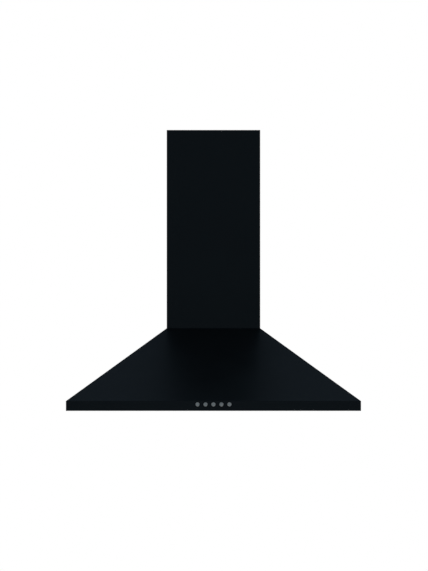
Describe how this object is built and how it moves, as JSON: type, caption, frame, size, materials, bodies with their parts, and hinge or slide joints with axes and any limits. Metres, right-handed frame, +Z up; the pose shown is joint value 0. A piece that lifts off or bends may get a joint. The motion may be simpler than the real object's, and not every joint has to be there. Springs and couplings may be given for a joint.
{
  "type": "chimney range hood",
  "caption": "Wall-mounted pyramid canopy hood in black sheet steel with a telescopic square chimney, push buttons, hinged grease filters, lamps and a centrifugal blower.",
  "frame": {"origin": "on the wall plane, at the middle of the hood's bottom edge", "axes": "+X to the right as seen from the front, +Y back to the wall, +Z up"},
  "size_m": [0.6, 0.472, 0.571],
  "materials": {
    "black_powder_coat": "satin black powder coat on folded sheet steel",
    "zinc_coated_steel": "galvanised sheet steel, faint spangle",
    "core_steel": "stacked electrical steel",
    "shaft_steel": "ground steel",
    "screw_steel": "zinc-plated screws",
    "white_nylon": "natural nylon",
    "black_abs": "moulded black ABS",
    "grey_abs": "moulded grey ABS",
    "latch_abs": "moulded black ABS",
    "filter_aluminium": "bright expanded aluminium",
    "satin_chrome": "satin-chromed trim",
    "button_chrome": "satin-chromed push buttons",
    "lamp_glass": "frosted glass",
    "pvc_lead": "grey PVC sleeving"
  },
  "bodies": {
    "hood": {"canopy_shell": "black_powder_coat", "lower_chimney": "black_powder_coat", "filter_tray": "black_powder_coat", "back_panel": "zinc_coated_steel", "top_plate": "zinc_coated_steel", "chimney_supports": "zinc_coated_steel", "scroll_wrap": "zinc_coated_steel", "scroll_left_plate": "zinc_coated_steel", "scroll_right_plate": "zinc_coated_steel", "motor_bracket": "zinc_coated_steel", "motor_can": "zinc_coated_steel", "motor_end_cover": "zinc_coated_steel", "stator_core": "core_steel", "motor_bearings": "shaft_steel", "flap_pin": "shaft_steel", "chimney_screws": "screw_steel", "tray_screws": "screw_steel", "switch_screws": "screw_steel", "blower_screws": "screw_steel", "chimney_glides": "white_nylon", "outlet_collar": "black_abs", "electrical_box": "grey_abs", "electrical_box_lid": "grey_abs", "terminal_block": "white_nylon", "capacitor": "white_nylon", "cable_gland": "black_abs", "switch_body": "black_abs", "lamp_bezels": "satin_chrome", "lamp_lenses": "lamp_glass", "lamp_housings": "filter_aluminium", "motor_lead": "pvc_lead", "lamp_leads": "pvc_lead", "switch_lead": "pvc_lead"},
    "upper_cover": {"upper_chimney": "black_powder_coat", "wall_bracket": "zinc_coated_steel", "bracket_screws": "screw_steel"},
    "rotor": {"impeller": "black_abs", "motor_shaft": "shaft_steel", "rotor_core": "core_steel", "impeller_nut": "shaft_steel"},
    "front_flap": {"flap_front": "black_abs"},
    "rear_flap": {"flap_rear": "black_abs"},
    "left_filter": {"left_filter_frame": "filter_aluminium", "left_filter_mesh": "filter_aluminium"},
    "right_filter": {"right_filter_frame": "filter_aluminium", "right_filter_mesh": "filter_aluminium"},
    "left_latch": {"left_filter_latch": "latch_abs"},
    "right_latch": {"right_filter_latch": "latch_abs"},
    "push_1": {"button_1": "button_chrome", "button_spring_1": "shaft_steel"},
    "push_2": {"button_2": "button_chrome", "button_spring_2": "shaft_steel"},
    "push_3": {"button_3": "button_chrome", "button_spring_3": "shaft_steel"},
    "push_4": {"button_4": "button_chrome", "button_spring_4": "shaft_steel"},
    "push_5": {"button_5": "button_chrome", "button_spring_5": "shaft_steel"}
  },
  "joints": [
    {"name": "upper_cover_slide", "type": "slide", "parent": "hood", "child": "upper_cover", "axis": [0, 0, 1], "range_m": [0, 0.32]},
    {"name": "impeller_spin", "type": "hinge", "parent": "hood", "child": "rotor", "pos_m": [0, -0.131, 0.102], "axis": [1, 0, 0], "continuous": true},
    {"name": "front_flap_swing", "type": "hinge", "parent": "hood", "child": "front_flap", "pos_m": [0, -0.09, 0.172], "axis": [-1, 0, 0], "range_deg": [0, 78]},
    {"name": "rear_flap_swing", "type": "hinge", "parent": "hood", "child": "rear_flap", "pos_m": [0, -0.09, 0.172], "axis": [1, 0, 0], "range_deg": [0, 78]},
    {"name": "left_filter_swing", "type": "hinge", "parent": "hood", "child": "left_filter", "pos_m": [-0.139, -0.026, 0.0079], "axis": [1, 0, 0], "range_deg": [0, 70]},
    {"name": "left_latch_slide", "type": "slide", "parent": "left_filter", "child": "left_latch", "axis": [0, -1, 0], "range_m": [0, 0.006]},
    {"name": "right_filter_swing", "type": "hinge", "parent": "hood", "child": "right_filter", "pos_m": [0.139, -0.026, 0.0079], "axis": [1, 0, 0], "range_deg": [0, 70]},
    {"name": "right_latch_slide", "type": "slide", "parent": "right_filter", "child": "right_latch", "axis": [0, -1, 0], "range_m": [0, 0.006]},
    {"name": "push_1_press", "type": "slide", "parent": "hood", "child": "push_1", "axis": [0, 1, 0], "range_m": [0, 0.0015], "stiffness_N_per_m": 500, "springref_m": -0.002},
    {"name": "push_2_press", "type": "slide", "parent": "hood", "child": "push_2", "axis": [0, 1, 0], "range_m": [0, 0.0015], "stiffness_N_per_m": 500, "springref_m": -0.002},
    {"name": "push_3_press", "type": "slide", "parent": "hood", "child": "push_3", "axis": [0, 1, 0], "range_m": [0, 0.0015], "stiffness_N_per_m": 500, "springref_m": -0.002},
    {"name": "push_4_press", "type": "slide", "parent": "hood", "child": "push_4", "axis": [0, 1, 0], "range_m": [0, 0.0015], "stiffness_N_per_m": 500, "springref_m": -0.002},
    {"name": "push_5_press", "type": "slide", "parent": "hood", "child": "push_5", "axis": [0, 1, 0], "range_m": [0, 0.0015], "stiffness_N_per_m": 500, "springref_m": -0.002}
  ]
}
